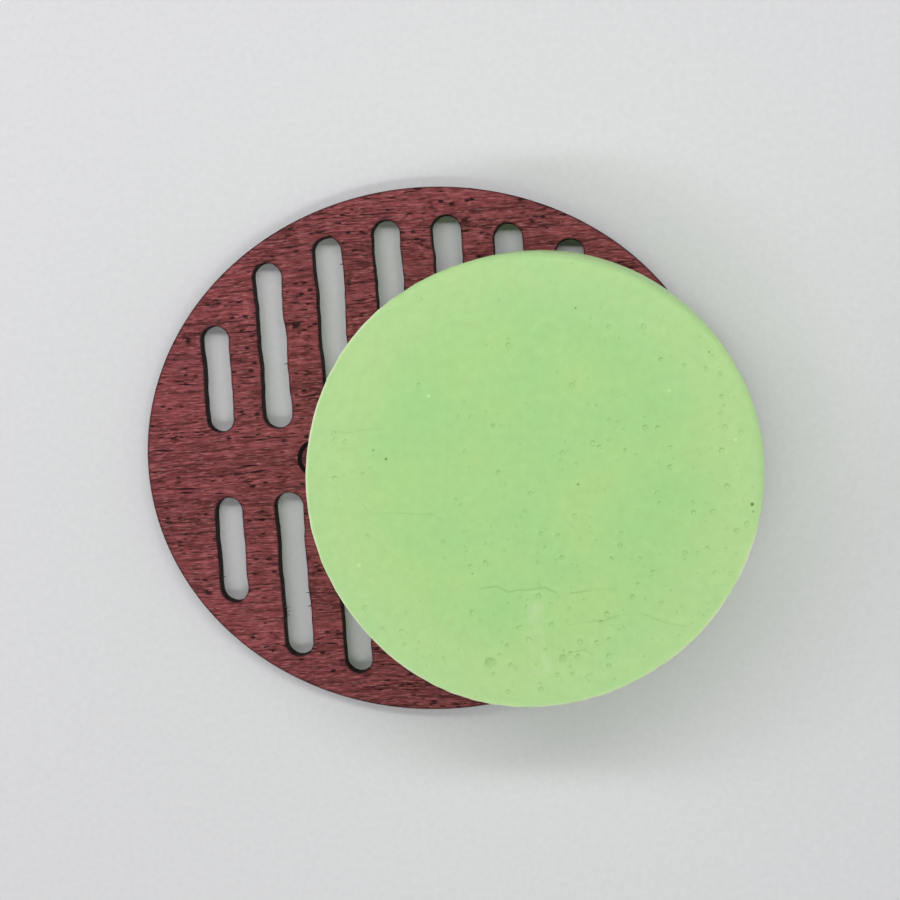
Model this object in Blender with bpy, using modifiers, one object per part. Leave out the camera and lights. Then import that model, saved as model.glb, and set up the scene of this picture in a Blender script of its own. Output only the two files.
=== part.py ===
"""A round puck of shaving soap lying on its slotted oval dish.

The dish is one flat board, cut through with two rows of drain slots on either side of a plain middle
band. The puck is one casting that lies loose on the board, off its centre, and lifts straight off.

Frame: origin in the middle of the board's underside, +X along the oval's long axis, +Z up.
"""

import math

import bpy
from mathutils import Vector

# The dish's board
DISH_LENGTH = 0.1038
DISH_WIDTH = 0.0936
DISH_THICKNESS = 0.0032
OUTLINE_SEGMENTS = 112

# Its drain slots: round-ended, side by side along X, mirrored about both axes
SLOT_PITCH = 0.0108
SLOT_WIDTH = 0.0050
MIDDLE_BAND = 0.0118
SLOT_REACH = (0.0414, 0.0393, 0.0355, 0.0250)  # outer end of each slot, from the middle column outwards
SLOT_END_SEGMENTS = 10

# The puck, a little wider at its base than at its top, as it left the mould
PUCK_TOP_RADIUS = 0.0376
PUCK_BASE_RADIUS = 0.0392
PUCK_HEIGHT = 0.0250
PUCK_TOP_EDGE = 0.0012
PUCK_BASE_EDGE = 0.0008
PUCK_CENTRE = (0.0187, -0.0048)
PUCK_SEGMENTS = 96
EDGE_SEGMENTS = 4

SEAT_GAP = 0.0003  # between the board's top face and the puck's base
MERGE_DISTANCE = 0.00001

PURPLEHEART = "7A3E40"
GREEN_SOAP = "B0D590"


def clear_scene():
    for obj in list(bpy.data.objects):
        bpy.data.objects.remove(obj)


def linear_colour(hex_code):
    """A hex sRGB colour as linear red, green, blue and alpha."""
    channels = [int(hex_code[i : i + 2], 16) / 255 for i in (0, 2, 4)]
    linear = [c / 12.92 if c <= 0.04045 else ((c + 0.055) / 1.055) ** 2.4 for c in channels]
    return (*linear, 1.0)


def make_material(name, hex_code, roughness):
    material = bpy.data.materials.new(name)
    material.use_nodes = True
    shader = material.node_tree.nodes["Principled BSDF"]
    shader.inputs["Base Color"].default_value = linear_colour(hex_code)
    shader.inputs["Roughness"].default_value = roughness
    shader.inputs["Metallic"].default_value = 0.0
    return material


def arc(centre, radius, start, end, segments):
    """Points from one angle to another round a centre, both ends included."""
    step = (end - start) / segments
    angles = [start + step * i for i in range(segments + 1)]
    return [(centre[0] + radius * math.cos(a), centre[1] + radius * math.sin(a)) for a in angles]


def oval_outline():
    step = 2 * math.pi / OUTLINE_SEGMENTS
    angles = [step * i for i in range(OUTLINE_SEGMENTS)]
    return [(DISH_LENGTH / 2 * math.cos(a), DISH_WIDTH / 2 * math.sin(a)) for a in angles]


def slot_outline(x, near_end, far_end):
    """A round-ended slot along Y, centred on x, between two ends with near_end below far_end."""
    radius = SLOT_WIDTH / 2
    top = arc((x, far_end - radius), radius, 0, math.pi, SLOT_END_SEGMENTS)
    bottom = arc((x, near_end + radius), radius, math.pi, 2 * math.pi, SLOT_END_SEGMENTS)
    return top + bottom


def slot_outlines():
    outlines = []
    for column, reach in enumerate(SLOT_REACH):
        for side in (-1, 1):
            x = side * (column + 0.5) * SLOT_PITCH
            outlines.append(slot_outline(x, MIDDLE_BAND / 2, reach))
            outlines.append(slot_outline(x, -reach, -MIDDLE_BAND / 2))
    return outlines


def add_closed_outline(curve, points):
    spline = curve.splines.new("POLY")
    spline.points.add(len(points) - 1)
    for point, (x, y) in zip(spline.points, points):
        point.co = (x, y, 0, 1)
    spline.use_cyclic_u = True


def make_slotted_dish(collection):
    """The board: its oval outline and its slots are one flat drawing, filled and given a thickness."""
    curve = bpy.data.curves.new("slotted_dish_drawing", "CURVE")
    curve.dimensions = "2D"
    curve.fill_mode = "BOTH"
    curve.extrude = DISH_THICKNESS / 2
    add_closed_outline(curve, oval_outline())
    for outline in slot_outlines():
        add_closed_outline(curve, outline)
    drawing = bpy.data.objects.new("slotted_dish_drawing", curve)
    drawing.location.z = DISH_THICKNESS / 2
    collection.objects.link(drawing)
    bpy.context.view_layer.update()

    evaluated = drawing.evaluated_get(bpy.context.evaluated_depsgraph_get())
    mesh = bpy.data.meshes.new_from_object(evaluated)
    mesh.name = "slotted_dish"
    dish = bpy.data.objects.new("slotted_dish", mesh)
    dish.matrix_world = drawing.matrix_world.copy()
    collection.objects.link(dish)
    bpy.data.objects.remove(drawing)

    weld = dish.modifiers.new("weld_faces_to_walls", "WELD")
    weld.merge_threshold = MERGE_DISTANCE
    mesh.materials.clear()
    mesh.materials.append(make_material("purpleheart", PURPLEHEART, 0.62))
    return dish


def puck_profile():
    """Half of the puck's section, from the middle of its top, out and down to the middle of its base."""
    top_edge = arc(
        (PUCK_TOP_RADIUS - PUCK_TOP_EDGE, PUCK_HEIGHT - PUCK_TOP_EDGE),
        PUCK_TOP_EDGE,
        math.pi / 2,
        0,
        EDGE_SEGMENTS,
    )
    base_edge = arc(
        (PUCK_BASE_RADIUS - PUCK_BASE_EDGE, PUCK_BASE_EDGE),
        PUCK_BASE_EDGE,
        0,
        -math.pi / 2,
        EDGE_SEGMENTS,
    )
    return [(0, PUCK_HEIGHT), *top_edge, *base_edge, (0, 0)]


def make_soap_puck(collection):
    """The casting, turned about its own upright axis, which its lift off the dish follows."""
    points = [Vector((radius, 0, height)) for radius, height in puck_profile()]
    edges = [(i, i + 1) for i in range(len(points) - 1)]
    mesh = bpy.data.meshes.new("soap_puck")
    mesh.from_pydata(points, edges, [])
    puck = bpy.data.objects.new("soap_puck", mesh)
    puck.location = (*PUCK_CENTRE, DISH_THICKNESS + SEAT_GAP)
    collection.objects.link(puck)

    turn = puck.modifiers.new("turn", "SCREW")
    turn.axis = "Z"
    turn.angle = 2 * math.pi
    turn.steps = PUCK_SEGMENTS
    turn.render_steps = PUCK_SEGMENTS
    turn.use_merge_vertices = True
    turn.merge_threshold = MERGE_DISTANCE
    turn.use_smooth_shade = True
    mesh.materials.append(make_material("green_soap", GREEN_SOAP, 0.5))
    return puck


def main():
    clear_scene()
    collection = bpy.data.collections.new("soap_puck_on_dish")
    bpy.context.scene.collection.children.link(collection)
    make_slotted_dish(collection)
    make_soap_puck(collection)


main()
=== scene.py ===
"""A puck of hard shaving soap lying on its slotted purpleheart dish.

The frame gives both pieces their places and outer sizes. The dish is rebuilt here as a laser-cut board
with wandering cuts, scorched rims, open pores and engraved rings, and the puck as a casting with burst
bubbles, wrinkles, specks and an uneven rim. Lengths are in metres, unless a name ends in _MM.
"""

import math
import random

import bmesh
import bpy
from bpy.props import FloatProperty, FloatVectorProperty, IntProperty, PointerProperty
from mathutils import Matrix, Vector, kdtree, noise


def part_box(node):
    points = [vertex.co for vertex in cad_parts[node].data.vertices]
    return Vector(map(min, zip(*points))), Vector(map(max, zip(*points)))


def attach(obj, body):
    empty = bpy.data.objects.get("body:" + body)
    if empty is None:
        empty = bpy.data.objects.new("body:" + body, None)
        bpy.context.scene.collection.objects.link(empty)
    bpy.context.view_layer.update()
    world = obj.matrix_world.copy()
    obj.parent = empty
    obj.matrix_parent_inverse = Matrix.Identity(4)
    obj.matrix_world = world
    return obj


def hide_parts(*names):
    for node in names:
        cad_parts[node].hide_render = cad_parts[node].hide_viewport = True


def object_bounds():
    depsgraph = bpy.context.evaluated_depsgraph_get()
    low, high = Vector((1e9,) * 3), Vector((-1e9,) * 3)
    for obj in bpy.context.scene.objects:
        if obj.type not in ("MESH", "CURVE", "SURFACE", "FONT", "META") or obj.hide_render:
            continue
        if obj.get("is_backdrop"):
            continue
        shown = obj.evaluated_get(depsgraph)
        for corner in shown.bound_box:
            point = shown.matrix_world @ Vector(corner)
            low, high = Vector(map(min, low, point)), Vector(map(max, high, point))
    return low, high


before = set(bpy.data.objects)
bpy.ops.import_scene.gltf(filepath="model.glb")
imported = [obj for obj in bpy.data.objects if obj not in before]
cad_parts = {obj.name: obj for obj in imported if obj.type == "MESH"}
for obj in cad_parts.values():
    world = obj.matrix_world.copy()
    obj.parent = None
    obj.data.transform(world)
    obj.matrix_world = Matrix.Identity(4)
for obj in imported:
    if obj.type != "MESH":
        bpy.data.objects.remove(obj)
CAD_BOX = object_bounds()
DISH_LOW, DISH_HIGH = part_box("slotted_dish")
PUCK_LOW, PUCK_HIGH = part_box("soap_puck")
PUCK_CENTRE = (Vector(PUCK_LOW) + Vector(PUCK_HIGH)) / 2

bl_info = {
    "name": "Soap Puck on a Slotted Dish",
    "version": (1, 0, 0),
    "blender": (4, 5, 0),
    "location": "View3D > Sidebar > Soap Dish",
    "description": "Makes a cast puck of shaving soap, its laser-cut wooden dish and a studio for them",
    "category": "Add Mesh",
}

MM = 0.001

OUTLINE_POINTS = 260

# Outer end of each drain slot from the dish's middle, for the columns from the middle outwards
SLOT_REACH_MM = (41.4, 39.3, 35.5, 25.0)
SLOT_CIRCLE_POINTS = 28
CUT_STEP = 0.55 * MM  # between the points along a slot's sides

# Faults in the cutting, by column counted from the middle and by row: how far two of the slots stand
# off their places, and how far one ends short of its reach
SLOT_STRAYS_MM = {(-3, 1): -0.42, (-3, -1): 0.25}
SLOT_SHORTFALLS_MM = {(-1, -1): 1.3}

# The rim of each cut: its steps outward and upward from the cut, and how scorched each step is
RIM_STEPS_MM = ((0.05, 0.05), (0.08, 0.03), (0.14, 0.0), (0.22, 0.0))
RIM_SCORCH = (0.9, 0.6, 0.2, 0.0)
WALL_ROWS = 5  # rows of faces from the top of a cut's wall to its foot

PORE_SEED = 11
MOST_PORE_TRIES = 30000
PORE_POINTS = 12
DEEPEST_PORE = 0.15 * MM

FIBRE_SEED = 5
FIBRE_TUFT_MM = (-26.75, -27.5)  # the middle line of its slot, and its place along the slot
FIBRES_IN_TUFT = 14

# Engraved rings, along the plain middle band: place along X and radius
ENGRAVED_RINGS_MM = (
    (-21.0, 3.5),
    (-13.6, 2.3),
    (-7.6, 1.6),
    (0.0, 3.5),
    (7.6, 1.6),
    (13.6, 2.3),
    (21.0, 3.5),
)
RING_POINTS = 48
RING_STROKE_MM = 0.9
RING_SLOPE_MM = 0.12  # how far a ring's side leans in on its way down

# Wrinkles in the puck's top, from its centre: each ran as the last soap poured in skinned over
WRINKLES_MM = (
    ((-9.7, -17.4), (-7.2, -17.2), (-5.3, -18.3), (-2.2, -18.2), (0.7, -18.0), (2.6, -18.9)),
    ((5.0, -19.1), (7.8, -18.9), (10.8, -18.8), (13.0, -18.7)),
    ((4.0, -24.5), (7.3, -24.2), (10.3, -24.1), (12.6, -23.3), (15.0, -23.0), (17.4, -23.5), (19.6, -24.8),
     (23.3, -25.8)),
    ((4.3, -29.1), (6.6, -28.8), (7.3, -29.3)),
    ((-32.0, 10.1), (-29.4, 9.9), (-27.7, 10.2), (-23.6, 10.3)),
    ((-28.5, -2.1), (-27.4, -3.7), (-22.8, -4.0), (-16.6, -4.6)),
    ((-12.1, -7.8), (-8.0, -6.4), (-5.4, -6.0)),
)
# Large open bubbles: place and radius
BLISTERS_MM = ((-9.2, -29.9, 0.95), (2.9, -29.9, 0.7), (-5.9, -30.5, 0.4))
LARGEST_RINGED_MM = 0.6  # painted shade lies right across wider bubbles, and only round the edge of smaller ones
BUBBLE_LIP_REACH = 1.4  # how far a bubble's raised lip reaches from its middle, in radii
BUBBLE_SEED = 23
WALL_BUBBLES = 60

# Specks in the soap: place, radius and how dark (1) or pale (-1) each is
SPECKS_MM = (
    (35.5, -6.4, 0.27, 1.0),
    (35.6, -7.6, 0.16, 0.7),
    (7.4, -1.2, 0.18, 0.8),
    (-24.0, 5.2, 0.2, 1.0),
    (-26.0, 6.8, 0.15, 0.8),
    (9.1, 27.7, 0.15, 0.8),
    (30.2, 18.9, 0.15, 0.8),
    (-11.1, -14.8, 0.14, 0.7),
    (-16.1, 15.1, 0.3, -1.0),
    (-29.9, -12.2, 0.34, -1.0),
    (33.5, 4.3, 0.3, -1.0),
    (23.3, 13.1, 0.28, -0.9),
)
RING_MARK_MM = (4.1, 23.3, 2.8)  # a faint ring that a burst bubble left: place and radius
SCUFF_MM = ((-1.1, -19.7), (-1.3, -26.2), (-0.4, -31.6))  # a whitish scuff's middle line


def linear(hex_code):
    """A hex sRGB colour as linear red, green and blue."""
    channels = [int(hex_code[i : i + 2], 16) / 255 for i in (0, 2, 4)]
    return tuple(c / 12.92 if c <= 0.04045 else ((c + 0.055) / 1.055) ** 2.4 for c in channels)


def rgba(colour):
    return (*colour, 1.0)


def smooth(low, high, value):
    """0 below low, 1 above high, and an even slope between them."""
    t = min(max((value - low) / (high - low), 0.0), 1.0)
    return t * t * (3 - 2 * t)


# Settings


class DishSettings(bpy.types.PropertyGroup):
    """The laser-cut board."""

    slot_pitch: FloatProperty(
        name="Slot pitch", description="From one drain slot to the next", default=0.0108, unit="LENGTH"
    )
    slot_width: FloatProperty(
        name="Slot width", description="Width of a drain slot", default=0.0050, unit="LENGTH"
    )
    middle_band: FloatProperty(
        name="Middle band", description="Plain band between the two rows of slots", default=0.0118,
        unit="LENGTH",
    )
    waver: FloatProperty(
        name="Waver", description="How far a cut wanders from its line", default=0.00028, unit="LENGTH"
    )
    engraving_depth: FloatProperty(
        name="Engraving depth", description="Depth of the engraved rings", default=0.00025, unit="LENGTH"
    )
    pores: IntProperty(name="Open pores", description="Pores cut open at the top face", default=170, min=0)
    heartwood: FloatVectorProperty(
        name="Heartwood", description="The wood's middle colour", default=linear("853F42"),
        subtype="COLOR", size=3,
    )
    earlywood: FloatVectorProperty(
        name="Pale grain", description="The pinker streaks", default=linear("9A4B52"), subtype="COLOR",
        size=3,
    )
    latewood: FloatVectorProperty(
        name="Dark grain", description="The browner bands", default=linear("6A3132"), subtype="COLOR",
        size=3,
    )
    scorch: FloatVectorProperty(
        name="Scorch", description="Wood burnt by the laser", default=linear("0C0607"), subtype="COLOR",
        size=3,
    )


class PuckSettings(bpy.types.PropertyGroup):
    """The soap casting."""

    top_radius: FloatProperty(
        name="Top radius", description="Radius of the top face's rim", default=0.0376, unit="LENGTH"
    )
    soft_edge: FloatProperty(
        name="Soft edge", description="Rounding where the rim is rubbed", default=0.0013, unit="LENGTH"
    )
    out_of_round: FloatProperty(
        name="Out of round", description="How far the rim strays from a circle", default=0.0003,
        unit="LENGTH",
    )
    large_bubbles: IntProperty(name="Large bubbles", description="Burst bubbles", default=115, min=0)
    small_bubbles: IntProperty(name="Small bubbles", description="Pinholes", default=200, min=0)
    soap_cool: FloatVectorProperty(
        name="Cool patches", description="Where the colour is bluer", default=linear("ACDB90"),
        subtype="COLOR", size=3,
    )
    soap_warm: FloatVectorProperty(
        name="Warm patches", description="Where the colour is yellower", default=linear("B5DD8E"),
        subtype="COLOR", size=3,
    )
    # A painted highlight: the cream line along the sharp side of the rim, where it catches the light
    rim_highlight: FloatVectorProperty(
        name="Bloom", description="Dried soap along the rim", default=linear("E2E8C6"), subtype="COLOR",
        size=3,
    )


class StageSettings(bpy.types.PropertyGroup):
    """The table, the lights over it and the room round it."""

    upper_power: FloatProperty(name="Upper strip", description="Its power in watts", default=0.74, min=0)
    lower_power: FloatProperty(name="Lower strip", description="Its power in watts", default=0.62, min=0)
    left_power: FloatProperty(name="Left panel", description="Its power in watts", default=0.77, min=0)
    right_power: FloatProperty(name="Right panel", description="Its power in watts", default=0.58, min=0)
    room_light: FloatProperty(name="Room light", description="Soft light all round", default=0.56, min=0)
    table: FloatVectorProperty(
        name="Table", description="The table's colour", default=linear("E4E4E6"), subtype="COLOR", size=3
    )


# Materials


def add_node(tree, kind, inputs=None, output=None, **settings):
    """Adds a node with its settings, fills its inputs with values or other nodes' outputs, and returns
    the output that is named, or else its first."""
    node = tree.nodes.new(kind)
    for name, value in settings.items():
        setattr(node, name, value)
    for key, value in (inputs or {}).items():
        named = [socket for socket in node.inputs if socket.enabled and socket.name == key]
        socket = named[0] if named else node.inputs[key]
        if isinstance(value, bpy.types.NodeSocket):
            tree.links.new(value, socket)
        else:
            socket.default_value = value
    return node.outputs[output] if output else next(s for s in node.outputs if s.enabled)


def new_material(name):
    material = bpy.data.materials.new(name)
    material.use_nodes = True
    tree = material.node_tree
    return material, tree, tree.nodes["Principled BSDF"]


def tinted(tree, colour, tints):
    """Lays tints over a colour in turn, each as its mask, its strength and its own colour."""
    for mask, strength, tint in tints:
        share = add_node(tree, "ShaderNodeMath", {0: mask, 1: strength}, operation="MULTIPLY")
        colour = add_node(
            tree, "ShaderNodeMix", {"Factor": share, "A": colour, "B": rgba(tint)}, data_type="RGBA"
        )
    return colour


def purpleheart_sanded(settings):
    """Purpleheart, sanded flat and left dry: pink and brown streaks along the grain, near-black pores
    as short dashes and rows of dots, and a faint ripple across the grain."""
    material, tree, shader = new_material("purpleheart_sanded")
    place = add_node(tree, "ShaderNodeTexCoord", output="Object")

    # The grain drifts by up to 1.8 mm over 45 mm, and by up to 0.3 mm over 7 mm
    grain = place
    for size_mm, reach_mm in ((45, 1.8), (7, 0.3)):
        swing = add_node(
            tree, "ShaderNodeTexNoise", {"Vector": place, "Scale": 1 / (size_mm * MM), "Detail": 1.0}
        )
        shift = add_node(
            tree, "ShaderNodeMapRange", {"Value": swing, "To Min": -reach_mm * MM, "To Max": reach_mm * MM}
        )
        sideways = add_node(tree, "ShaderNodeCombineXYZ", {"Y": shift})
        grain = add_node(tree, "ShaderNodeVectorMath", {0: grain, 1: sideways}, operation="ADD")

    # Each layer of streaks: their length and width in millimetres, their detail, and the noise levels
    # between which they fade in
    layers = {}
    for name, long_mm, wide_mm, detail, start, full in (
        ("bands", 60, 4.5, 2, 0.38, 0.62),
        ("lines", 7, 0.9, 3, 0.42, 0.60),
        ("veins", 16, 0.5, 2, 0.56, 0.62),
        ("pale_hairs", 2.2, 0.30, 3, 0.50, 0.66),
        ("dark_hairs", 2.2, 0.34, 3, 0.50, 0.34),
        ("fibres", 1.8, 0.24, 2, 0.58, 0.68),
        ("crowd", 50, 2.4, 2, 0.44, 0.60),
        ("dashes", 2.0, 0.40, 1, 0.60, 0.66),
        ("rows", 26, 1.1, 1, 0.54, 0.60),
    ):
        stretched = add_node(
            tree, "ShaderNodeMapping", {"Vector": grain, "Scale": (wide_mm / long_mm, 1.0, 0.6)}
        )
        streaks = add_node(
            tree,
            "ShaderNodeTexNoise",
            {"Vector": stretched, "Scale": 1 / (wide_mm * MM), "Detail": detail},
        )
        layers[name] = add_node(
            tree, "ShaderNodeMapRange", {"Value": streaks, "From Min": start, "From Max": full}
        )

    # Pores: dashes about 2 mm long that crowd in some bands, and rows of dots about 2 mm apart
    crowd = add_node(tree, "ShaderNodeMapRange", {"Value": layers["crowd"], "To Min": 0.3})
    dashes = add_node(tree, "ShaderNodeMath", {0: layers["dashes"], 1: crowd}, operation="MULTIPLY")
    dot_space = add_node(tree, "ShaderNodeMapping", {"Vector": grain, "Scale": (0.55, 1.0, 0.3)})
    dots = add_node(tree, "ShaderNodeTexVoronoi", {"Vector": dot_space, "Scale": 1 / (1.1 * MM)})
    dots = add_node(tree, "ShaderNodeMapRange", {"Value": dots, "From Min": 0.34, "From Max": 0.18})
    dots = add_node(tree, "ShaderNodeMath", {0: dots, 1: layers["rows"]}, operation="MULTIPLY")
    pores = add_node(tree, "ShaderNodeMath", {0: dashes, 1: dots}, operation="MAXIMUM")

    colour = add_node(
        tree,
        "ShaderNodeMix",
        {"Factor": layers["bands"], "A": rgba(settings.latewood), "B": rgba(settings.heartwood)},
        data_type="RGBA",
    )
    grain_tints = (
        (layers["lines"], 0.6, settings.earlywood),
        (layers["veins"], 0.78, linear("4A2020")),
        (layers["pale_hairs"], 0.58, linear("B8666A")),
        (layers["dark_hairs"], 0.58, linear("441C1C")),
        (layers["fibres"], 0.42, linear("C88C8E")),
    )
    colour = tinted(tree, colour, grain_tints)

    # Ripple across the grain, its swells about 1.4 mm long and twice as wide
    ripple_space = add_node(tree, "ShaderNodeMapping", {"Vector": grain, "Scale": (1.0, 0.5, 1.0)})
    ripple = add_node(
        tree, "ShaderNodeTexNoise", {"Vector": ripple_space, "Scale": 1 / (1.4 * MM), "Detail": 3.0}
    )
    ripple = add_node(
        tree,
        "ShaderNodeMapRange",
        {"Value": ripple, "From Min": 0.3, "From Max": 0.7, "To Min": 0.89, "To Max": 1.11},
    )
    colour = add_node(tree, "ShaderNodeVectorMath", {0: colour, "Scale": ripple}, operation="SCALE")

    dark_tints = (
        (pores, 0.95, linear("220A0B")),
        (add_node(tree, "ShaderNodeAttribute", output="Fac", attribute_name="pore"), 1.0, linear("120607")),
        (add_node(tree, "ShaderNodeAttribute", output="Fac", attribute_name="scorch"), 1.0, settings.scorch),
    )
    colour = tinted(tree, colour, dark_tints)
    tree.links.new(colour, shader.inputs["Base Color"])
    roughness = add_node(
        tree, "ShaderNodeMapRange", {"Value": layers["lines"], "To Min": 0.8, "To Max": 0.7}
    )
    tree.links.new(roughness, shader.inputs["Roughness"])
    shader.inputs["Specular IOR Level"].default_value = 0.2

    level = add_node(
        tree, "ShaderNodeMapRange", {"Value": layers["pale_hairs"], "To Min": 0.5, "To Max": 1.0}
    )
    height = add_node(tree, "ShaderNodeMath", {0: level, 1: pores}, operation="SUBTRACT")
    bump = add_node(tree, "ShaderNodeBump", {"Height": height, "Strength": 0.6, "Distance": 0.06 * MM})
    tree.links.new(bump, shader.inputs["Normal"])
    return material


def purpleheart_laser_cut():
    """The same wood where the laser went through: charred nearly black, ribbed from top to bottom, with
    pale ash caught on the ribs."""
    material, tree, shader = new_material("purpleheart_laser_cut")
    place = add_node(tree, "ShaderNodeTexCoord", output="Object")
    upright = add_node(tree, "ShaderNodeMapping", {"Vector": place, "Scale": (1.0, 1.0, 0.12)})
    ribs = add_node(
        tree, "ShaderNodeTexNoise", {"Vector": upright, "Scale": 1 / (0.45 * MM), "Detail": 3.0}
    )
    flecks = add_node(tree, "ShaderNodeTexNoise", {"Vector": place, "Scale": 1 / (0.7 * MM), "Detail": 2.0})
    ash = add_node(tree, "ShaderNodeMapRange", {"Value": flecks, "From Min": 0.66, "From Max": 0.72})
    char_tints = ((ribs, 1.0, linear("3A2224")), (ash, 0.45, linear("8A7C7C")))
    colour = tinted(tree, rgba(linear("120A0B")), char_tints)
    tree.links.new(colour, shader.inputs["Base Color"])
    shader.inputs["Roughness"].default_value = 0.85
    shader.inputs["Specular IOR Level"].default_value = 0.2
    bump = add_node(tree, "ShaderNodeBump", {"Height": ribs, "Strength": 0.8, "Distance": 0.15 * MM})
    tree.links.new(bump, shader.inputs["Normal"])
    return material


def soap_cast_green(settings):
    """Hard shaving soap, cast and dried: milky and nearly matte, clouded in two greens, paler towards
    the rim, with painted shade in the pits and along the wrinkles, and a cream highlight painted along the
    sharp side of the rim."""
    material, tree, shader = new_material("soap_cast_green")
    place = add_node(tree, "ShaderNodeTexCoord", output="Object")

    # Each layer of mottle: its size in millimetres, its detail and roughness, and the noise levels that
    # it is spread between
    layers = {}
    for name, size_mm, detail, roughness, start, full in (
        ("clouds", 15, 3, 0.5, 0.38, 0.62),
        ("curds", 1.6, 3, 0.6, 0.30, 0.70),
        ("smears", 2.4, 2, 0.5, 0.36, 0.62),
        ("damp", 6, 2, 0.5, 0.35, 0.65),
        ("peel", 0.9, 2, 0.5, 0.20, 0.80),
        ("grit", 0.22, 2, 0.5, 0.20, 0.80),
    ):
        mottle = add_node(
            tree,
            "ShaderNodeTexNoise",
            {"Vector": place, "Scale": 1 / (size_mm * MM), "Detail": detail, "Roughness": roughness},
        )
        layers[name] = add_node(
            tree, "ShaderNodeMapRange", {"Value": mottle, "From Min": start, "From Max": full}
        )

    # Paler over the last few millimetres to the rim
    centred = add_node(
        tree, "ShaderNodeMapping", {"Vector": place, "Location": -PUCK_CENTRE, "Scale": (1, 1, 0)}
    )
    from_axis = add_node(
        tree, "ShaderNodeVectorMath", {0: centred}, output="Value", operation="LENGTH"
    )
    rim = add_node(
        tree, "ShaderNodeMapRange", {"Value": from_axis, "From Min": 29 * MM, "From Max": 37.5 * MM}
    )

    painted = {
        name: add_node(tree, "ShaderNodeAttribute", output="Fac", attribute_name=name)
        for name in ("scuff", "pit_shade", "crease_and_shade", "pale", "dark", "lip_highlight")
    }
    scuff = add_node(
        tree, "ShaderNodeMath", {0: painted["scuff"], 1: layers["smears"]}, operation="MULTIPLY"
    )
    cloudy = (
        (layers["clouds"], 0.8, settings.soap_warm),
        (rim, 0.3, linear("C6E4A6")),
        (scuff, 0.28, linear("D6E8BE")),
        # Painted shade in the burst bubbles' pits
        (painted["pit_shade"], 0.22, linear("7DAE66")),
        # Painted shade along the wrinkles
        (painted["crease_and_shade"], 0.38, linear("7FB068")),
        (painted["pale"], 0.8, linear("C8EEAA")),
        (painted["dark"], 1.0, linear("68823C")),
        # A painted highlight along the sharp side of the rim
        (painted["lip_highlight"], 1.0, settings.rim_highlight),
    )
    colour = tinted(tree, rgba(settings.soap_cool), cloudy)
    curds = add_node(
        tree, "ShaderNodeMapRange", {"Value": layers["curds"], "To Min": 0.965, "To Max": 1.03}
    )
    colour = add_node(tree, "ShaderNodeVectorMath", {0: colour, "Scale": curds}, operation="SCALE")
    tree.links.new(colour, shader.inputs["Base Color"])

    roughness = add_node(
        tree, "ShaderNodeMapRange", {"Value": layers["damp"], "To Min": 0.46, "To Max": 0.58}
    )
    tree.links.new(roughness, shader.inputs["Roughness"])
    shader.inputs["Specular IOR Level"].default_value = 0.35
    shader.inputs["Subsurface Weight"].default_value = 0.12
    shader.inputs["Subsurface Radius"].default_value = (0.8, 1.0, 0.5)
    shader.inputs["Subsurface Scale"].default_value = 1.2 * MM

    skin = add_node(
        tree,
        "ShaderNodeMix",
        {"Factor": 0.3, "A": layers["peel"], "B": layers["grit"]},
        data_type="FLOAT",
    )
    bump = add_node(tree, "ShaderNodeBump", {"Height": skin, "Strength": 0.5, "Distance": 0.06 * MM})
    tree.links.new(bump, shader.inputs["Normal"])
    return material


def table_matt_laminate(settings):
    """A matt laminate table top: pale cool grey with a faint fine mottle."""
    material, tree, shader = new_material("table_matt_laminate")
    place = add_node(tree, "ShaderNodeTexCoord", output="Object")
    mottle = add_node(tree, "ShaderNodeTexNoise", {"Vector": place, "Scale": 1 / (1.1 * MM), "Detail": 3.0})
    tone = add_node(
        tree,
        "ShaderNodeMapRange",
        {"Value": mottle, "From Min": 0.3, "From Max": 0.7, "To Min": 0.975, "To Max": 1.02},
    )
    colour = add_node(tree, "ShaderNodeVectorMath", {0: settings.table, "Scale": tone}, operation="SCALE")
    tree.links.new(colour, shader.inputs["Base Color"])
    shader.inputs["Roughness"].default_value = 0.7
    shader.inputs["Specular IOR Level"].default_value = 0.25
    return material


# Meshes


def finish_piece(name, bm, materials, body, node, sharp_degrees):
    """Turns a bmesh into a piece that rides on a body and stands for a CAD node."""
    mesh = bpy.data.meshes.new(name)
    bm.to_mesh(mesh)
    bm.free()
    for material in materials:
        mesh.materials.append(material)
    mesh.shade_smooth()
    mesh.set_sharp_from_angle(angle=math.radians(sharp_degrees))
    piece = bpy.data.objects.new(name, mesh)
    bpy.context.scene.collection.objects.link(piece)
    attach(piece, body)
    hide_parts(node)
    return piece


def ring_corners(edges):
    """The corners of a closed ring of edges in order, anticlockwise as seen from above."""
    neighbours = {}
    for edge in edges:
        for corner, other in (edge.verts, reversed(edge.verts)):
            neighbours.setdefault(corner, []).append(other)
    start = edges[0].verts[0]
    corners, previous, corner = [start], start, neighbours[start][0]
    while corner is not start:
        corners.append(corner)
        ahead, back = neighbours[corner]
        previous, corner = corner, (back if ahead is previous else ahead)
    pairs = zip(corners, corners[1:] + corners[:1])
    area = sum(a.co.x * b.co.y - b.co.x * a.co.y for a, b in pairs)
    return corners if area > 0 else corners[::-1]


def spread(corners, distance, rise=0.0):
    """Moves a ring's corners outwards, square to the ring, and up."""
    count = len(corners)
    moves = []
    for i in range(count):
        along = corners[(i + 1) % count].co - corners[i - 1].co
        moves.append(Vector((along.y, -along.x, 0)).normalized() * distance)
    for corner, move in zip(corners, moves):
        corner.co += move
        corner.co.z += rise


def edges_of(corners):
    """The edges that join these corners to each other."""
    wanted = set(corners)
    touching = dict.fromkeys(edge for corner in corners for edge in corner.link_edges)
    return [edge for edge in touching if all(corner in wanted for corner in edge.verts)]


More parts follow.
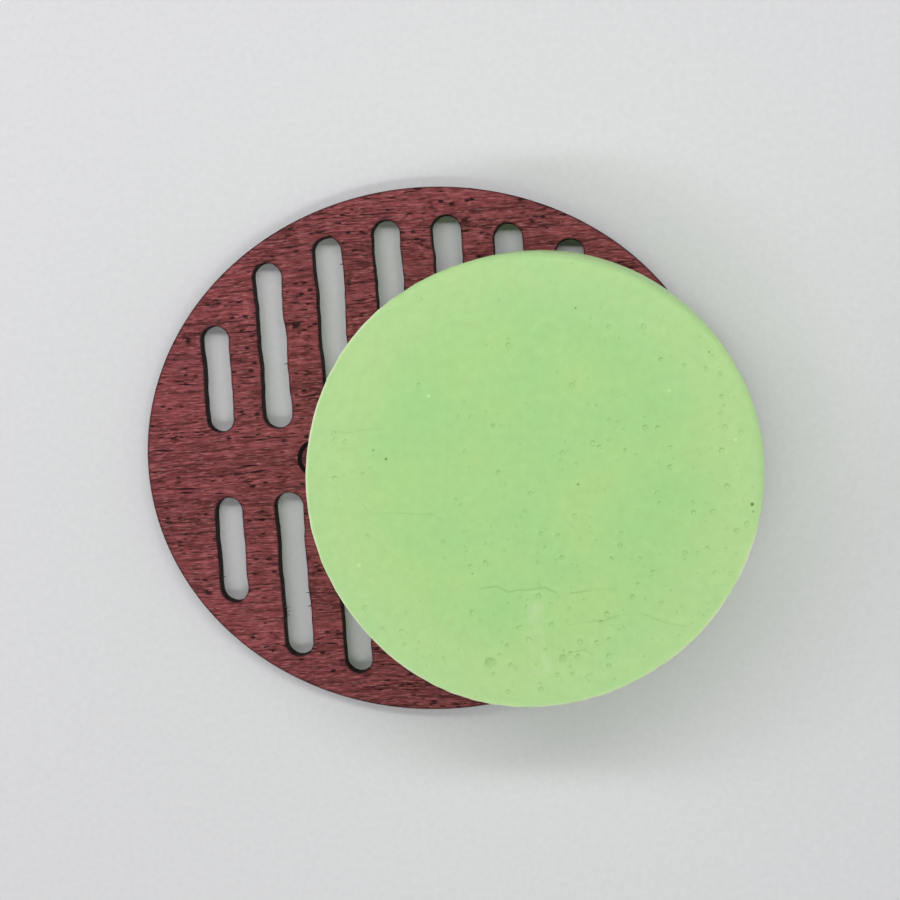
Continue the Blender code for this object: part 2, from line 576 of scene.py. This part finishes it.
def step_on(bm, edges, distance, rise):
    """Extrudes a ring of edges by one step, outwards and up, and returns the new ring and its faces."""
    made = bmesh.ops.extrude_edge_only(bm, edges=edges)["geom"]
    corners = [item for item in made if isinstance(item, bmesh.types.BMVert)]
    faces = [item for item in made if isinstance(item, bmesh.types.BMFace)]
    ring = edges_of(corners)
    spread(ring_corners(ring), distance, rise)
    return ring, faces


def waver(corners, amount, seed):
    """Lets a cut wander sideways, in swings 5 to 9 mm long with smaller ones on them."""
    count = len(corners)
    for i, corner in enumerate(corners):
        along = corners[(i + 1) % count].co - corners[i - 1].co
        across = Vector((along.y, -along.x, 0)).normalized()
        place = Vector((corner.co.x / (9 * MM), corner.co.y / (5.5 * MM), seed * 7.3))
        swing = noise.noise(place) + 0.35 * noise.noise(place * 3.1)
        corner.co += across * amount * swing


def slot_ring(bm, settings, x, near_end, far_end, seed):
    """A slot's cut line: a circle pulled apart into two round ends, with points along its sides."""
    others = set(bm.edges)
    radius = settings.slot_width / 2
    turn = Matrix.Rotation(math.pi / SLOT_CIRCLE_POINTS, 4, "Z")
    corners = bmesh.ops.create_circle(bm, segments=SLOT_CIRCLE_POINTS, radius=radius, matrix=turn)["verts"]
    for corner in corners:
        corner.co.y += far_end - radius if corner.co.y > 0 else near_end + radius
        corner.co.x += x
    sides = [e for e in edges_of(corners) if e.calc_length() > radius]
    cuts = round((far_end - near_end - 2 * radius) / CUT_STEP)
    bmesh.ops.subdivide_edges(bm, edges=sides, cuts=cuts)
    ring = [edge for edge in bm.edges if edge not in others]
    waver(ring_corners(ring), settings.waver, seed)
    return ring


def outline_ring(bm):
    """The board's oval outline."""
    corners = bmesh.ops.create_circle(bm, segments=OUTLINE_POINTS, radius=1.0)["verts"]
    size = Vector(DISH_HIGH) - Vector(DISH_LOW)
    bmesh.ops.scale(bm, vec=(size.x / 2, size.y / 2, 1.0), verts=corners)
    return edges_of(corners)


class BoardBuilder:
    """Builds the board ring by ring: each cut line gets its rim, its wall and its underside's rim."""

    def __init__(self, settings):
        self.settings = settings
        self.bm = bmesh.new()
        self.scorch = self.bm.verts.layers.float.new("scorch")
        self.pore = self.bm.verts.layers.float.new("pore")
        self.thickness = DISH_HIGH[2] - DISH_LOW[2]
        self.top_rings = []
        self.bottom_rings = []

    def paint(self, ring, layer, amount):
        for corner in {v for edge in ring for v in edge.verts}:
            corner[layer] = amount

    def scorched_rim(self, ring, outwards, upwards):
        """The rim of a cut, less scorched at each step away from it; returns its outer ring."""
        for (out, rise), burnt in zip(RIM_STEPS_MM, RIM_SCORCH):
            ring, _ = step_on(self.bm, ring, outwards * out * MM, upwards * rise * MM)
            self.paint(ring, self.scorch, burnt)
        return ring

    def cut(self, ring, outwards):
        """A cut through the board; outwards is 1 for a slot, whose wood lies outside its line."""
        sunk = sum(rise for _, rise in RIM_STEPS_MM) * MM
        for corner in {v for edge in ring for v in edge.verts}:
            corner.co.z = self.thickness - sunk
        self.paint(ring, self.scorch, 1.0)
        self.top_rings += self.scorched_rim(ring, outwards, 1)

        drop = (self.thickness - 2 * sunk) / WALL_ROWS
        wall = ring
        for _ in range(WALL_ROWS):
            wall, faces = step_on(self.bm, wall, 0.0, -drop)
            for face in faces:
                face.material_index = 1
        self.bottom_rings += self.scorched_rim(wall, outwards, -1)

    def engrave(self, x, radius):
        """A burnt ring: its outer and inner lines, its sloping sides and the floor between them."""
        depth = self.settings.engraving_depth
        lines = []
        for reach, inwards in ((radius, -1), (radius - RING_STROKE_MM, 1)):
            place = Matrix.Translation((x * MM, 0, self.thickness))
            made = bmesh.ops.create_circle(
                self.bm, segments=RING_POINTS, radius=reach * MM, matrix=place
            )
            line = edges_of(made["verts"])
            self.top_rings += line
            side, _ = step_on(self.bm, line, inwards * RING_SLOPE_MM * MM, -depth)
            self.paint(side, self.scorch, 1.0)
            lines += side
        bmesh.ops.bridge_loops(self.bm, edges=lines)

    def open_pore(self, x, y, length, width, turn):
        """A pore cut open at the top face: a narrow boat-shaped pit along the grain."""
        shape = Matrix.Diagonal((length / 2, width / 2, 1, 1))
        made = bmesh.ops.create_circle(self.bm, segments=PORE_POINTS, radius=1.0, matrix=shape)
        corners = made["verts"]
        line = edges_of(corners)
        self.top_rings += line
        made = bmesh.ops.extrude_edge_only(self.bm, edges=line)["geom"]
        floor = [item for item in made if isinstance(item, bmesh.types.BMVert)]
        bmesh.ops.scale(self.bm, vec=(0.8, 0.4, 1), verts=floor)
        bmesh.ops.translate(self.bm, vec=(0, 0, -min(0.5 * width, DEEPEST_PORE)), verts=floor)
        for corner in floor:
            corner[self.pore] = 1.0
        for corner in corners + floor:
            corner.co.y *= 1 - 0.7 * abs(corner.co.x / length * 2) ** 2
        bmesh.ops.contextual_create(self.bm, geom=floor + edges_of(floor))
        place = Matrix.Translation((x, y, self.thickness)) @ Matrix.Rotation(turn, 4, "Z")
        bmesh.ops.transform(self.bm, matrix=place, verts=corners + floor)

    def faces(self):
        """Fills the top and the underside between all the rings."""
        for rings, way in ((self.top_rings, 1), (self.bottom_rings, -1)):
            bmesh.ops.triangle_fill(
                self.bm, use_beauty=True, use_dissolve=False, edges=rings, normal=(0, 0, way)
            )
        bmesh.ops.recalc_face_normals(self.bm, faces=self.bm.faces)


def slot_places(settings):
    """Each slot's middle line, and its lower and upper ends along Y."""
    for column, reach in enumerate(SLOT_REACH_MM):
        for side in (-1, 1):
            for row in (1, -1):
                slot = (side * (column + 1), row)
                stray = SLOT_STRAYS_MM.get(slot, 0) * MM
                far = reach - SLOT_SHORTFALLS_MM.get(slot, 0)
                ends = sorted((row * settings.middle_band / 2, row * far * MM))
                yield side * (column + 0.5) * settings.slot_pitch + stray, *ends


def clear_of_cuts(settings, x, y, half_length, margin):
    """Whether a pore there stays on plain wood."""
    size = (Vector(DISH_HIGH) - Vector(DISH_LOW)) / 2
    for end in (x - half_length, x + half_length):
        if (end / (size.x - margin)) ** 2 + (y / (size.y - margin)) ** 2 > 1:
            return False
    for slot_x, near_end, far_end in slot_places(settings):
        beside = abs(x - slot_x) > settings.slot_width / 2 + half_length + margin
        if not beside and near_end - margin < y < far_end + margin:
            return False
    for ring_x, radius in ENGRAVED_RINGS_MM:
        if math.hypot(max(abs(x - ring_x * MM) - half_length, 0), y) < radius * MM + margin:
            return False
    return True


def scatter_pores(board, settings):
    """Opens pores over the top face in loose rows, the longest in the middle band, none touching."""
    rng = random.Random(PORE_SEED)
    placed = []
    for _ in range(MOST_PORE_TRIES):
        if len(placed) == settings.pores:
            break
        x, y = rng.uniform(DISH_LOW[0], DISH_HIGH[0]), rng.uniform(DISH_LOW[1], DISH_HIGH[1])
        in_band = abs(y) < 0.4 * settings.middle_band
        length = rng.choice((1.6, 2.6, 4.0, 6.0) if in_band else (0.6, 0.9, 1.4, 2.2, 3.2)) * MM
        width = rng.uniform(0.2, 0.42) * MM if in_band else rng.uniform(0.14, 0.3) * MM
        crowd = noise.noise(Vector((x / (30 * MM), y / (2.2 * MM), 4.0)))
        if crowd < rng.uniform(-0.1, 0.3) or not clear_of_cuts(settings, x, y, length / 2, 0.6 * MM):
            continue
        if any(abs(x - a) < (length + b) / 2 + 0.5 * MM and abs(y - c) < 0.7 * MM for a, b, c in placed):
            continue
        placed.append((x, length, y))
        board.open_pore(x, y, length, width, math.radians(rng.uniform(-4, 4)))


def add_fibre(board, x, y, side, thickness, length, rng):
    """One torn fibre: a thin charred cone that stands out from a slot's wall, into the slot."""
    height = board.thickness * rng.uniform(0.4, 0.9)
    root = Matrix.Translation((x + side * board.settings.slot_width / 2, y, height))
    sideways = Matrix.Rotation(math.radians(rng.uniform(-50, 50)), 4, "Z")
    lying = Matrix.Rotation(math.radians(-90 * side + rng.uniform(-25, 25)), 4, "Y")
    before = set(board.bm.faces)
    bmesh.ops.create_cone(
        board.bm,
        cap_ends=True,
        segments=5,
        radius1=thickness / 2,
        radius2=thickness / 8,
        depth=length,
        matrix=root @ sideways @ lying,
    )
    for face in set(board.bm.faces) - before:
        face.material_index = 1


def add_fibres(board, settings):
    """Torn fibres that the laser left on the slots' walls, and one tuft of them."""
    rng = random.Random(FIBRE_SEED)
    for x, near_end, far_end in slot_places(settings):
        for side in (1, 1, -1):
            y = rng.uniform(near_end + 3 * MM, far_end - 3 * MM)
            add_fibre(board, x, y, side, rng.uniform(0.2, 0.4) * MM, rng.uniform(0.8, 1.6) * MM, rng)
    tuft_x, tuft_y = (place * MM for place in FIBRE_TUFT_MM)
    for _ in range(FIBRES_IN_TUFT):
        y = tuft_y + rng.uniform(-0.9, 0.9) * MM
        add_fibre(board, tuft_x, y, -1, rng.uniform(0.1, 0.2) * MM, rng.uniform(1.2, 2.6) * MM, rng)


def make_dish(settings):
    board = BoardBuilder(settings)
    board.cut(outline_ring(board.bm), -1)
    for seed, (x, near_end, far_end) in enumerate(slot_places(settings)):
        board.cut(slot_ring(board.bm, settings, x, near_end, far_end, seed), 1)
    for x, radius in ENGRAVED_RINGS_MM:
        board.engrave(x, radius)
    scatter_pores(board, settings)
    board.faces()
    add_fibres(board, settings)
    return finish_piece(
        "slotted_board",
        board.bm,
        (purpleheart_sanded(settings), purpleheart_laser_cut()),
        "dish",
        "slotted_dish",
        sharp_degrees=35,
    )


# The puck

# Rings of faces on the top, and on the rim, the wall and the base's edge
TOP_RINGS = 80
RIM_STEPS = 8
WALL_STEPS = 24
BASE_STEPS = 4
BASE_EDGE = 0.8 * MM
BASE_SLACK = 0.25 * MM  # how much smaller in radius the base is than its box, to leave its swells room
LIP_HIGHLIGHT_FADE = 0.3  # how much of the painted rim highlight is left at each ring down the wall

# The dried lip, from the edge of the flat top: how far out and how far up each step of the rim stands
LIP_MM = ((0.35, 0.0), (0.6, 0.015), (0.8, 0.05), (0.95, 0.075), (1.06, 0.07), (1.15, 0.03), (1.23, -0.06),
          (1.3, -0.22))
LIP_HIGHLIGHT = (0.0, 0.0, 0.08, 0.22, 0.55, 0.95, 1.0, 0.7)  # how strongly each of those steps is painted with the cream highlight

# How the rim strays from a circle: how many swells go round the puck, their share and their crest
RIM_SWELLS = ((0, 0.55, 0.0), (1, 0.4, 2.9), (2, 0.65, 0.42), (3, 0.9, 0.26), (6, 0.2, 0.22))


def rim_stray(settings, angle):
    """How far the rim strays from a circle at an angle round the puck."""
    waves = sum(share * math.cos(lobes * (angle - crest)) for lobes, share, crest in RIM_SWELLS)
    chips = noise.noise(Vector((math.cos(angle), math.sin(angle), 0)) * settings.top_radius / (2.2 * MM))
    return settings.out_of_round * (waves + 0.3 * chips)


def rubbed(angle):
    """1 where the rim is rubbed round, towards +X and +Y, and 0 where it kept its sharp lip."""
    return smooth(0.2, 0.5, math.cos(angle - 1.0))


def round_off(bm, square):
    """Turns a square grid into a disc: each square round the middle becomes a circle."""
    for corner in square:
        x, y = corner.co.x, corner.co.y
        if abs(x) >= abs(y) and x:
            corner.co = (x * math.cos(math.pi / 4 * y / x), x * math.sin(math.pi / 4 * y / x), 0)
        elif y:
            corner.co = (y * math.sin(math.pi / 4 * x / y), y * math.cos(math.pi / 4 * x / y), 0)


def puck_body(bm, settings):
    """The casting before its blemishes, with its middle on the Z axis: top, rim, wall and base."""
    lip_highlight = bm.verts.layers.float.new("lip_highlight")
    base_radius = (PUCK_HIGH[0] - PUCK_LOW[0]) / 2
    flat = settings.top_radius - settings.soft_edge
    top = bmesh.ops.create_grid(bm, x_segments=2 * TOP_RINGS, y_segments=2 * TOP_RINGS, size=1.0)["verts"]
    round_off(bm, top)
    for corner in top:
        share = corner.co.length
        angle = math.atan2(corner.co.y, corner.co.x)
        corner.co *= flat + rim_stray(settings, angle) * share
        corner.co.z = PUCK_HIGH[2]
    ring = [edge for edge in bm.edges if edge.is_boundary]

    def next_ring(ring, place):
        made = bmesh.ops.extrude_edge_only(bm, edges=ring)["geom"]
        corners = [item for item in made if isinstance(item, bmesh.types.BMVert)]
        for corner in corners:
            angle = math.atan2(corner.co.y, corner.co.x)
            radius, height = place(angle)
            corner.co = (radius * math.cos(angle), radius * math.sin(angle), height)
        return edges_of(corners), corners

    for step in range(1, RIM_STEPS + 1):
        turn = math.pi / 2 * step / RIM_STEPS
        lip_out, lip_up = LIP_MM[step - 1]

        def on_rim(angle):
            soft = rubbed(angle)
            out = soft * settings.soft_edge * math.sin(turn) + (1 - soft) * lip_out * MM
            down = soft * settings.soft_edge * (1 - math.cos(turn)) - (1 - soft) * lip_up * MM
            return flat + rim_stray(settings, angle) + out, PUCK_HIGH[2] - down

        ring, corners = next_ring(ring, on_rim)
        for corner in corners:
            angle = math.atan2(corner.co.y, corner.co.x)
            # Paints the cream highlight on the sharp side of the rim, stronger in some places than others
            highlight_strength = 0.75 + 0.6 * noise.noise(corner.co / (2.5 * MM))
            corner[lip_highlight] = (1 - rubbed(angle)) * min(highlight_strength, 1.0) * LIP_HIGHLIGHT[step - 1]

    def base_reach(angle):
        return base_radius - BASE_SLACK + 0.5 * rim_stray(settings, angle)

    for step in range(1, WALL_STEPS + 1):
        share = step / WALL_STEPS

        def on_wall(angle):
            soft = rubbed(angle)
            start = PUCK_HIGH[2] - soft * settings.soft_edge + (1 - soft) * LIP_MM[-1][1] * MM
            height = start + (PUCK_LOW[2] + BASE_EDGE - start) * share
            upper = settings.top_radius + rim_stray(settings, angle)
            return upper + (base_reach(angle) - upper) * share, height

        ring, corners = next_ring(ring, on_wall)
        # The painted rim highlight fades at each ring down the wall
        for corner in corners:
            corner[lip_highlight] *= LIP_HIGHLIGHT_FADE

    for step in range(1, BASE_STEPS + 1):
        turn = math.pi / 2 * step / BASE_STEPS

        def on_base_edge(angle):
            inward = BASE_EDGE * (1 - math.cos(turn))
            return base_reach(angle) - inward, PUCK_LOW[2] + BASE_EDGE * (1 - math.sin(turn))

        ring, corners = next_ring(ring, on_base_edge)
    base = bmesh.ops.contextual_create(bm, geom=corners + ring)["faces"]
    for thickness in (1.5 * MM, 5 * MM, 12 * MM):
        bmesh.ops.inset_region(bm, faces=base, thickness=thickness)
    bmesh.ops.recalc_face_normals(bm, faces=bm.faces)


def bubble_places(settings):
    """Burst bubbles and pinholes over the top, thickest towards +X and -Y, and bubbles over the wall, each
    as its centre, radius and depth."""
    rng = random.Random(BUBBLE_SEED)
    flat = settings.top_radius - settings.soft_edge
    bubbles = []
    wanted_mm = ((settings.large_bubbles, 0.3, 0.5), (settings.small_bubbles, 0.16, 0.26))
    for count, smallest, largest in wanted_mm:
        made = 0
        while made < count:
            angle, reach = rng.uniform(0, 2 * math.pi), flat * math.sqrt(rng.random())
            x, y = reach * math.cos(angle), reach * math.sin(angle)
            towards_corner = (x * 0.6 - y * 0.8) / flat
            clumps = noise.noise(Vector((x / (7 * MM), y / (7 * MM), 2.0)))
            if rng.random() > 0.35 + 0.55 * towards_corner + 0.9 * clumps:
                continue
            radius = rng.uniform(smallest, largest) * MM
            centre = Vector((x, y, PUCK_HIGH[2]))
            if any((centre - other).length < radius + far + 0.15 * MM for other, far, _ in bubbles):
                continue
            bubbles.append((centre, radius, radius * rng.uniform(0.26, 0.42)))
            made += 1
    base_radius = (PUCK_HIGH[0] - PUCK_LOW[0]) / 2
    for _ in range(WALL_BUBBLES):
        angle, share = rng.uniform(0, 2 * math.pi), rng.uniform(0.08, 0.95)
        reach = settings.top_radius + (base_radius - settings.top_radius) * share
        height = PUCK_HIGH[2] + (PUCK_LOW[2] - PUCK_HIGH[2]) * share
        radius = rng.uniform(0.25, 0.55) * MM
        centre = Vector((reach * math.cos(angle), reach * math.sin(angle), height))
        bubbles.append((centre, radius, radius * 0.4))
    for x, y, radius in BLISTERS_MM:
        bubbles.append((Vector((x * MM, y * MM, PUCK_HIGH[2])), radius * MM, radius * 0.32 * MM))
    return bubbles


def points_along(path, step):
    """Points a step apart along a line through the path's corners, with the line's direction at each."""
    made = []
    for (ax, ay), (bx, by) in zip(path, path[1:]):
        start, end = Vector((ax, ay, 0)) * MM, Vector((bx, by, 0)) * MM
        count = max(1, round((end - start).length / step))
        direction = (end - start).normalized()
        made += [(start.lerp(end, i / count), direction) for i in range(count)]
    return made


def refine(bm, near, rounds):
    """Halves the faces that near(centre, size) picks, as many times over as rounds says."""
    for _ in range(rounds):
        edges = {}
        for face in bm.faces:
            size = face.edges[0].calc_length()
            if near(face.calc_center_median(), size):
                edges.update(dict.fromkeys(face.edges))
        bmesh.ops.subdivide_edges(bm, edges=list(edges), cuts=1, use_grid_fill=True)


def make_tree(places):
    tree = kdtree.KDTree(len(places))
    for index, place in enumerate(places):
        tree.insert(place, index)
    tree.balance()
    return tree


def press_bubbles(bm, bubbles):
    """Sinks each burst bubble: a nearly round pit, deeper towards +Y, with a low raised lip, and paints
    shade into the pit.
    """
    pit_shade = bm.verts.layers.float["pit_shade"]
    tree = make_tree([centre for centre, _, _ in bubbles])
    reach = BUBBLE_LIP_REACH * max(radius for _, radius, _ in bubbles)
    bm.normal_update()
    moves = []
    for corner in bm.verts:
        for _, index, distance in tree.find_range(corner.co, reach):
            _, radius, depth = bubbles[index]
            share = distance / radius
            share /= 1 + 0.25 * noise.noise(corner.co / (0.35 * MM))
            if share < 1:
                bowl = (1 - share**2) ** 0.6
                slant = 1 + 0.6 * (corner.co.y - bubbles[index][0].y) / radius
                moves.append((corner, corner.normal * -depth * bowl * slant))
                # Paints shade into the pit
                filled = 1.0 if radius > LARGEST_RINGED_MM * MM else smooth(0.3, 0.75, share)
                corner[pit_shade] = max(corner[pit_shade], filled)
            elif share < BUBBLE_LIP_REACH:
                swell = math.sin((share - 1) / (BUBBLE_LIP_REACH - 1) * math.pi)
                moves.append((corner, corner.normal * depth * 0.12 * swell))
    for corner, move in moves:
        corner.co += move


def press_wrinkles(bm):
    """Draws each wrinkle as a fine groove with a low swelling beside it, towards +Y, and paints shade into
    the groove.
    """
    crease_shade_layer = bm.verts.layers.float.new("crease_and_shade")
    marks = [mark for path in WRINKLES_MM for mark in points_along(path, 0.2 * MM)]
    bends = [Vector((0, noise.noise(place / (2.5 * MM)) * 0.25 * MM, 0)) for place, _ in marks]
    tree = make_tree([place + bend for (place, _), bend in zip(marks, bends)])
    for corner in bm.verts:
        if corner.co.z < PUCK_HIGH[2] - 0.3 * MM:
            continue
        flat = Vector((corner.co.x, corner.co.y, 0))
        found, index, distance = tree.find(flat)
        if distance > 1.6 * MM:
            continue
        direction = marks[index][1]
        side = direction.cross(flat - found).z
        fade = max(noise.noise(found / (4 * MM)) * 1.1 + 0.65, 0.1)
        crease_and_shade = math.exp(-((distance / (0.14 * MM)) ** 2)) * fade
        swelling = math.exp(-((side / MM - 0.55) ** 2) / 0.14) * fade
        corner.co.z += (0.04 * swelling - 0.11 * crease_and_shade) * MM
        # Paints shade along the groove
        corner[crease_shade_layer] = min(crease_and_shade, 1.0)


def paint_marks(bm):
    """Specks, the faint ring mark and the scuff."""
    dark = bm.verts.layers.float.new("dark")
    pale = bm.verts.layers.float.new("pale")
    scuff = bm.verts.layers.float.new("scuff")
    scuff_line = make_tree([place for place, _ in points_along(SCUFF_MM, 0.5 * MM)])
    ring_x, ring_y, ring_radius = RING_MARK_MM
    for corner in bm.verts:
        if corner.co.z < PUCK_HIGH[2] - 1.2 * MM:
            continue
        x, y = corner.co.x / MM, corner.co.y / MM
        for speck_x, speck_y, radius, tone in SPECKS_MM:
            distance = math.hypot(x - speck_x, y - speck_y)
            if distance < 1.5 * radius:
                amount = abs(tone) * (1 - smooth(0.5, 1.5, distance / radius))
                layer = dark if tone > 0 else pale
                corner[layer] = max(corner[layer], amount)
        on_ring = abs(math.hypot(x - ring_x, y - ring_y) - ring_radius)
        if on_ring < 0.9:
            swell = math.exp(-((on_ring / 0.35) ** 2)) * (0.7 + 0.5 * noise.noise(corner.co / (2 * MM)))
            corner.co.z += 0.03 * MM * swell
            corner[pale] = max(corner[pale], 0.3 * swell)
        distance = scuff_line.find(Vector((corner.co.x, corner.co.y, 0)))[2]
        corner[scuff] = 1 - smooth(0.9 * MM, 2.0 * MM, distance)


def unevenness(bm):
    """The rise and fall of a poured face and of a wall that shrank in its mould, in swells about 11 mm
    long with fainter ones about 3 mm long."""
    bm.normal_update()
    moves = []
    for corner in bm.verts:
        if corner.co.z < PUCK_LOW[2] + MM:
            continue
        slow = noise.noise(corner.co / (11 * MM))
        quick = noise.noise(corner.co / (3.2 * MM) + Vector((5, 1, 2)))
        moves.append((corner, corner.normal * (0.05 * slow + 0.012 * quick) * MM))
    for corner, move in moves:
        corner.co += move


def make_puck(settings):
    bm = bmesh.new()
    puck_body(bm, settings)
    bm.verts.layers.float.new("pit_shade")
    bubbles = bubble_places(settings)
    bubble_tree = make_tree([centre for centre, _, _ in bubbles])
    marks = [mark for path in WRINKLES_MM for mark, _ in points_along(path, 0.4 * MM)]
    marks += [Vector((x * MM, y * MM, 0)) for x, y, _, _ in SPECKS_MM]
    mark_tree = make_tree([Vector((place.x, place.y, PUCK_HIGH[2])) for place in marks])

    def close_to_a_blemish(centre, size):
        _, index, distance = bubble_tree.find(centre)
        if distance < 1.25 * bubbles[index][1] + 0.5 * size:
            return True
        return mark_tree.find(centre)[2] < 0.35 * MM + 0.6 * size

    refine(bm, close_to_a_blemish, 2)
    unevenness(bm)
    press_wrinkles(bm)
    paint_marks(bm)
    press_bubbles(bm, bubbles)
    bmesh.ops.translate(bm, vec=(PUCK_CENTRE.x, PUCK_CENTRE.y, 0), verts=bm.verts)
    return finish_piece(
        "soap_casting",
        bm,
        (soap_cast_green(settings),),
        "puck",
        "soap_puck",
        sharp_degrees=60,
    )


# The studio

TABLE_SIZE = 3.0
CAMERA_PLACE_MM = (33.87, 17.86, 340.94)
CAMERA_LEANS = (5.199, -3.05, -4.327)  # degrees about Y, then X, then the line of sight
CAMERA_LENS_MM = 76.0
STUDIO_TURN = -4.3  # degrees: the lights stand square to the camera

# Each light: its bearing and height in degrees, its distance, its length and width, and how far it is
# slid along its own length. Two strips hang over the table, and two soft panels stand at its sides.
LIGHTS = {
    "upper_strip": (0, 64, 0.38, 0.6, 0.05, -0.06),
    "lower_strip": (180, 60, 0.55, 0.45, 0.05, 0.0),
    "left_panel": (90, 25, 0.5, 0.6, 0.3, 0.0),
    "right_panel": (-90, 25, 0.5, 0.6, 0.3, 0.0),
}

# The room's brightness from the horizon (0) to straight overhead (1), where whoever leans over the
# table to look shades it
ROOM_GLOW = ((0.0, 1.0), (0.2, 0.5), (0.35, 0.36), (0.55, 0.55), (0.82, 0.63), (0.92, 0.0))


def make_camera():
    camera = bpy.data.objects.new("camera", bpy.data.cameras.new("camera"))
    camera.data.lens = CAMERA_LENS_MM
    camera.data.sensor_width = 36.0
    camera.data.clip_start = 0.01
    turns = [
        Matrix.Rotation(math.radians(lean), 4, axis) for lean, axis in zip(CAMERA_LEANS, ("Y", "X", "Z"))
    ]
    place = Matrix.Translation(Vector(CAMERA_PLACE_MM) * MM)
    camera.matrix_world = place @ turns[0] @ turns[1] @ turns[2]
    bpy.context.scene.collection.objects.link(camera)
    bpy.context.scene.camera = camera


def make_light(name, power):
    """A flat light that faces the middle of the table."""
    bearing, height, distance, length, width, slide = LIGHTS[name]
    light = bpy.data.lights.new(name, "AREA")
    light.shape = "RECTANGLE"
    light.size = length
    light.size_y = width
    light.energy = power
    lamp = bpy.data.objects.new(name, light)
    turn = Matrix.Rotation(math.radians(STUDIO_TURN + bearing), 4, "Z")
    lean = Matrix.Rotation(math.radians(height - 90), 4, "X")
    lamp.matrix_world = turn @ lean @ Matrix.Translation((slide, 0, distance))
    lamp.visible_camera = False
    bpy.context.scene.collection.objects.link(lamp)


def make_table(settings):
    bm = bmesh.new()
    bmesh.ops.create_grid(bm, x_segments=4, y_segments=4, size=TABLE_SIZE / 2)
    mesh = bpy.data.meshes.new("table_top")
    bm.to_mesh(mesh)
    bm.free()
    mesh.materials.append(table_matt_laminate(settings))
    table = bpy.data.objects.new("table_top", mesh)
    bpy.context.scene.collection.objects.link(table)
    table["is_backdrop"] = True


def make_room(settings):
    world = bpy.data.worlds.new("room")
    world.use_nodes = True
    tree = world.node_tree
    direction = add_node(tree, "ShaderNodeTexCoord", output="Generated")
    height = add_node(tree, "ShaderNodeSeparateXYZ", {"Vector": direction}, output="Z")
    glow = add_node(tree, "ShaderNodeValToRGB", {"Fac": height})
    ramp = glow.node.color_ramp
    ramp.interpolation = "EASE"
    while len(ramp.elements) < len(ROOM_GLOW):
        ramp.elements.new(1.0)
    for element, (place, level) in zip(ramp.elements, ROOM_GLOW):
        element.position = place
        element.color = (level, level, level, 1.0)
    background = tree.nodes["Background"]
    tree.links.new(glow, background.inputs["Color"])
    background.inputs["Strength"].default_value = settings.room_light
    bpy.context.scene.world = world


def make_stage(settings):
    make_camera()
    make_table(settings)
    make_light("upper_strip", settings.upper_power)
    make_light("lower_strip", settings.lower_power)
    make_light("left_panel", settings.left_power)
    make_light("right_panel", settings.right_power)
    make_room(settings)
    bpy.context.scene.view_settings.view_transform = "Standard"


# Operators and panel


class SOAPDISH_OT_make_stage(bpy.types.Operator):
    """Make the camera, the table, the lights and the room"""

    bl_idname = "soapdish.make_stage"
    bl_label = "Make Stage"

    def execute(self, context):
        make_stage(context.scene.soap_stage)
        return {"FINISHED"}


class SOAPDISH_OT_make_dish(bpy.types.Operator):
    """Make the slotted board that the puck drains on"""

    bl_idname = "soapdish.make_dish"
    bl_label = "Make Slotted Dish"

    def execute(self, context):
        make_dish(context.scene.soap_dish)
        return {"FINISHED"}


class SOAPDISH_OT_make_puck(bpy.types.Operator):
    """Make the puck of shaving soap"""

    bl_idname = "soapdish.make_puck"
    bl_label = "Make Soap Puck"

    def execute(self, context):
        make_puck(context.scene.soap_puck)
        return {"FINISHED"}


class SOAPDISH_PT_panel(bpy.types.Panel):
    bl_label = "Soap Dish"
    bl_space_type = "VIEW_3D"
    bl_region_type = "UI"
    bl_category = "Soap Dish"

    def draw(self, context):
        scene = context.scene
        for settings, operator in (
            (scene.soap_stage, SOAPDISH_OT_make_stage),
            (scene.soap_dish, SOAPDISH_OT_make_dish),
            (scene.soap_puck, SOAPDISH_OT_make_puck),
        ):
            box = self.layout.box()
            for name in settings.bl_rna.properties.keys():
                if name not in ("rna_type", "name"):
                    box.prop(settings, name)
            box.operator(operator.bl_idname)


CLASSES = (
    DishSettings,
    PuckSettings,
    StageSettings,
    SOAPDISH_OT_make_stage,
    SOAPDISH_OT_make_dish,
    SOAPDISH_OT_make_puck,
    SOAPDISH_PT_panel,
)


def register():
    for cls in CLASSES:
        bpy.utils.register_class(cls)
    bpy.types.Scene.soap_dish = PointerProperty(type=DishSettings)
    bpy.types.Scene.soap_puck = PointerProperty(type=PuckSettings)
    bpy.types.Scene.soap_stage = PointerProperty(type=StageSettings)


def unregister():
    del bpy.types.Scene.soap_stage
    del bpy.types.Scene.soap_puck
    del bpy.types.Scene.soap_dish
    for cls in reversed(CLASSES):
        bpy.utils.unregister_class(cls)


def main():
    register()
    bpy.ops.soapdish.make_stage()
    bpy.ops.soapdish.make_dish()
    bpy.ops.soapdish.make_puck()
    boxes = {"cad_box": CAD_BOX, "visual_box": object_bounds()}
    sizes = {name: [list(corner) for corner in box] for name, box in boxes.items()}


if __name__ == "__main__":
    main()
